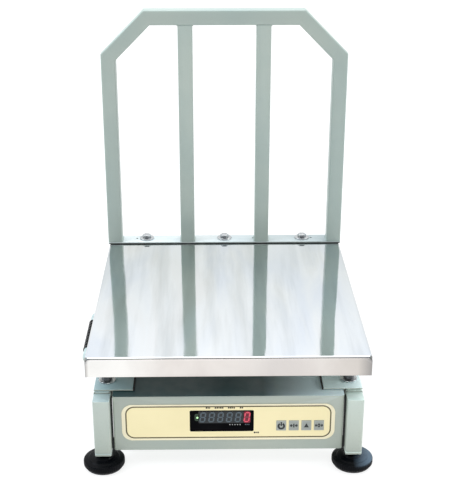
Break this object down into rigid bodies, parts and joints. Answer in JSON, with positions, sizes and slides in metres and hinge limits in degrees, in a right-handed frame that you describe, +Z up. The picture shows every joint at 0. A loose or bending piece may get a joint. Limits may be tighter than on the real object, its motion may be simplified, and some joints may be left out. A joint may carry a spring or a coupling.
{
  "type": "animal weighing scale",
  "caption": "Bench scale for animals: stainless pan with tubular back guard on a square-tube base, front indicator box, overload stops and levelling feet.",
  "frame": {"origin": "on the floor, under the middle of the scale", "axes": "+X to the right seen from the front, +Y to the back where the guard stands, +Z up"},
  "size_m": [0.45, 0.476, 0.588],
  "materials": {
    "paint": "satin powder coat, pale grey-green",
    "stainless": "polished stainless sheet",
    "zinc_steel": "bright zinc plated",
    "aluminium": "machined, anodised",
    "dark_steel": "blackened steel",
    "black_plastic": "moulded, lightly textured",
    "rubber": "matte",
    "overlay": "satin printed film, cream",
    "key_grey": "satin printed film, grey",
    "smoked_window": "gloss smoked acrylic",
    "circuit_board": "satin solder mask",
    "battery_case": "moulded"
  },
  "bodies": {
    "base": {"base_rail_left": "paint", "base_rail_right": "paint", "base_rear_tube": "paint", "base_cell_beam": "paint", "leg_front_left": "paint", "leg_front_right": "paint", "leg_rear_left": "paint", "leg_rear_right": "paint", "corner_plate_front_left": "paint", "corner_plate_front_right": "paint", "corner_plate_rear_left": "paint", "corner_plate_rear_right": "paint", "stop_bolt_front_left": "dark_steel", "stop_bolt_front_right": "dark_steel", "stop_bolt_rear_left": "dark_steel", "stop_bolt_rear_right": "dark_steel", "load_cell": "aluminium", "cell_spacer_lower": "zinc_steel", "cell_bolt_fixed_inner": "zinc_steel", "cell_bolt_fixed_outer": "zinc_steel", "load_cell_cable": "rubber", "handle_left": "black_plastic", "handle_right": "black_plastic", "indicator_housing": "paint", "indicator_rear_cover": "paint", "panel_overlay": "overlay", "display_window": "smoked_window", "display_module": "black_plastic", "main_board": "circuit_board", "battery": "battery_case", "charging_socket": "black_plastic", "cable_gland": "black_plastic"},
    "platform": {"pan": "stainless", "spider_front_tube": "paint", "spider_rear_tube": "paint", "spider_rail_left": "paint", "spider_rail_right": "paint", "spider_cell_beam": "paint", "cell_spacer_upper": "zinc_steel", "cell_bolt_live_inner": "zinc_steel", "cell_bolt_live_outer": "zinc_steel", "guard_strip": "paint", "guard_hoop": "paint", "guard_bar_left": "paint", "guard_bar_right": "paint", "guard_screw_left": "zinc_steel", "guard_screw_middle": "zinc_steel", "guard_screw_right": "zinc_steel"},
    "key_power": {"key_power": "key_grey"},
    "key_tare": {"key_tare": "key_grey"},
    "key_up": {"key_up": "key_grey"},
    "key_zero": {"key_zero": "key_grey"},
    "foot_sole_front_left": {"foot_sole_front_left": "rubber"},
    "foot_knob_front_left": {"foot_knob_front_left": "black_plastic"},
    "foot_sole_front_right": {"foot_sole_front_right": "rubber"},
    "foot_knob_front_right": {"foot_knob_front_right": "black_plastic"},
    "foot_sole_rear_left": {"foot_sole_rear_left": "rubber"},
    "foot_knob_rear_left": {"foot_knob_rear_left": "black_plastic"},
    "foot_sole_rear_right": {"foot_sole_rear_right": "rubber"},
    "foot_knob_rear_right": {"foot_knob_rear_right": "black_plastic"}
  },
  "joints": [
    {"name": "platform_load", "type": "slide", "parent": "base", "child": "platform", "axis": [0, 0, -1], "range_m": [0, 0.001], "stiffness_N_per_m": 1000000, "springref_m": -0.00007, "deforming": ["load_cell"]},
    {"name": "key_power_press", "type": "slide", "parent": "base", "child": "key_power", "axis": [0, 1, 0], "range_m": [0, 0.0005], "stiffness_N_per_m": 4000, "springref_m": -0.0001},
    {"name": "key_tare_press", "type": "slide", "parent": "base", "child": "key_tare", "axis": [0, 1, 0], "range_m": [0, 0.0005], "stiffness_N_per_m": 4000, "springref_m": -0.0001},
    {"name": "key_up_press", "type": "slide", "parent": "base", "child": "key_up", "axis": [0, 1, 0], "range_m": [0, 0.0005], "stiffness_N_per_m": 4000, "springref_m": -0.0001},
    {"name": "key_zero_press", "type": "slide", "parent": "base", "child": "key_zero", "axis": [0, 1, 0], "range_m": [0, 0.0005], "stiffness_N_per_m": 4000, "springref_m": -0.0001},
    {"name": "foot_front_left_lower", "type": "slide", "parent": "base", "child": "foot_sole_front_left", "axis": [0, 0, -1], "range_m": [0, 0.012]},
    {"name": "foot_front_left_turn", "type": "hinge", "parent": "foot_sole_front_left", "child": "foot_knob_front_left", "pos_m": [-0.181, -0.208, 0.008], "axis": [0, 0, -1], "range_deg": [0, 2881]},
    {"name": "foot_front_right_lower", "type": "slide", "parent": "base", "child": "foot_sole_front_right", "axis": [0, 0, -1], "range_m": [0, 0.012]},
    {"name": "foot_front_right_turn", "type": "hinge", "parent": "foot_sole_front_right", "child": "foot_knob_front_right", "pos_m": [0.181, -0.208, 0.008], "axis": [0, 0, -1], "range_deg": [0, 2881]},
    {"name": "foot_rear_left_lower", "type": "slide", "parent": "base", "child": "foot_sole_rear_left", "axis": [0, 0, -1], "range_m": [0, 0.012]},
    {"name": "foot_rear_left_turn", "type": "hinge", "parent": "foot_sole_rear_left", "child": "foot_knob_rear_left", "pos_m": [-0.181, 0.208, 0.008], "axis": [0, 0, -1], "range_deg": [0, 2881]},
    {"name": "foot_rear_right_lower", "type": "slide", "parent": "base", "child": "foot_sole_rear_right", "axis": [0, 0, -1], "range_m": [0, 0.012]},
    {"name": "foot_rear_right_turn", "type": "hinge", "parent": "foot_sole_rear_right", "child": "foot_knob_rear_right", "pos_m": [0.181, 0.208, 0.008], "axis": [0, 0, -1], "range_deg": [0, 2881]}
  ],
  "couplings": [
    {"joint": "foot_front_left_turn", "follows": "foot_front_left_lower", "rad_per_m": 4188.8},
    {"joint": "foot_front_right_turn", "follows": "foot_front_right_lower", "rad_per_m": 4188.8},
    {"joint": "foot_rear_left_turn", "follows": "foot_rear_left_lower", "rad_per_m": 4188.8},
    {"joint": "foot_rear_right_turn", "follows": "foot_rear_right_lower", "rad_per_m": 4188.8}
  ]
}
